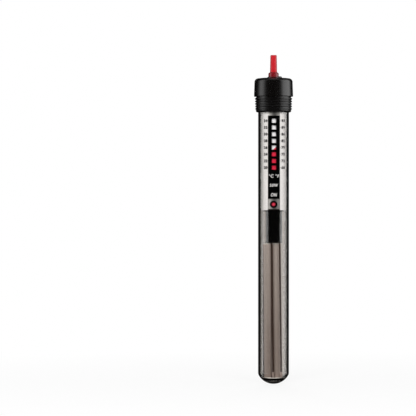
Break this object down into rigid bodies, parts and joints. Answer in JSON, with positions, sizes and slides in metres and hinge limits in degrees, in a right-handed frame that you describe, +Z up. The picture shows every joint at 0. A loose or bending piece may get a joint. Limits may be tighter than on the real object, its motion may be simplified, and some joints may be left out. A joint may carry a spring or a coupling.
{
  "type": "submersible aquarium heater",
  "caption": "Submersible aquarium heater: glass tube with a two-rod element, windowed temperature scale, pilot lamp, bimetal thermostat, ribbed seal and setting knob.",
  "frame": {"origin": "on the tube's axis, halfway along the bare straight glass between the domed foot and the seal boot", "axes": "+Z up the tube to the knob, -Y out of the temperature scale, +X to the right of the scale as it is read"},
  "size_m": [0.028, 0.028, 0.2349],
  "materials": {
    "clear_glass": "polished, slightly smoky",
    "boot_rubber": "satin",
    "cap_plastic": "satin",
    "potting": "cast",
    "knob_red": "glossy",
    "steel": "turned",
    "brass": "turned",
    "spring_bronze": "rolled",
    "bimetal": "rolled",
    "contact_silver": "polished",
    "magnet_ferrite": "sintered",
    "acetal": "moulded",
    "drum_white": "satin",
    "wrap_red": "printed",
    "frame_grey": "satin",
    "frame_aluminium": "satin",
    "scale_black": "satin",
    "liner_silver": "satin, rolled",
    "phenolic_black": "moulded",
    "lens_red": "moulded",
    "bulb_glass": "blown",
    "resistor_body": "lacquered",
    "holder_black": "moulded",
    "ceramic_white": "unglazed",
    "resistance_wire": "drawn wire",
    "sleeve_brown": "braided glass sleeve",
    "glass_fibre": "loose fibre",
    "lead_brown": "insulated wire",
    "lead_blue": "insulated wire"
  },
  "bodies": {
    "housing": {"glass_tube": "clear_glass", "seal_boot": "boot_rubber", "boot_clamp_ring": "steel", "cap_shell": "cap_plastic", "head_plug": "potting", "cord_grommet": "boot_rubber", "spindle_gland": "cap_plastic", "spindle_o_rings": "boot_rubber", "upper_bearing_plate": "frame_aluminium", "lower_bearing_plate": "frame_aluminium", "side_rail_left": "frame_grey", "side_rail_right": "frame_grey", "frame_screws": "steel", "scale_plate": "scale_black", "liner_sleeve": "liner_silver", "switch_base": "phenolic_black", "pressure_leaf": "spring_bronze", "fixed_contact": "contact_silver", "snap_magnet": "magnet_ferrite", "bimetal_anchor": "brass", "clamp_rivets": "brass", "link_strap": "brass", "lamp_housing": "frame_aluminium", "lamp_bezel": "scale_black", "lamp_lens": "lens_red", "neon_bulb": "bulb_glass", "series_resistor": "resistor_body", "element_holder": "holder_black", "ceramic_rod_left": "ceramic_white", "ceramic_rod_right": "ceramic_white", "heating_winding_left": "resistance_wire", "heating_winding_right": "resistance_wire", "return_lead_left": "sleeve_brown", "return_lead_right": "sleeve_brown", "crimp_sleeves": "resistance_wire", "bottom_spacer": "ceramic_white", "end_cushion": "glass_fibre", "live_terminal": "brass", "neutral_terminal": "brass", "live_lead": "lead_brown", "neutral_lead": "lead_blue"},
    "adjuster": {"knob": "knob_red", "spindle": "steel", "indicator_drum": "drum_white", "indicator_red_wrap": "wrap_red", "adjusting_screw": "steel"},
    "plunger": {"adjusting_nut": "acetal"},
    "bimetal_arm": {"bimetal_strip": "bimetal", "moving_contact": "contact_silver", "armature": "steel"}
  },
  "joints": [
    {"name": "knob_turn", "type": "hinge", "parent": "housing", "child": "adjuster", "pos_m": [0, 0, 0.1179], "axis": [0, 0, 1], "range_deg": [-180, 120]},
    {"name": "nut_travel", "type": "slide", "parent": "housing", "child": "plunger", "axis": [0, 0, 1], "range_m": [-0.0002, 0.0003]},
    {"name": "bimetal_flex", "type": "hinge", "parent": "housing", "child": "bimetal_arm", "pos_m": [0, 0.0042, 0.0337], "axis": [1, 0, 0], "range_deg": [0, 2.5], "stiffness_Nm_per_rad": 0.01}
  ],
  "couplings": [
    {"joint": "nut_travel", "follows": "knob_turn", "m_per_rad": -0.000079577}
  ]
}
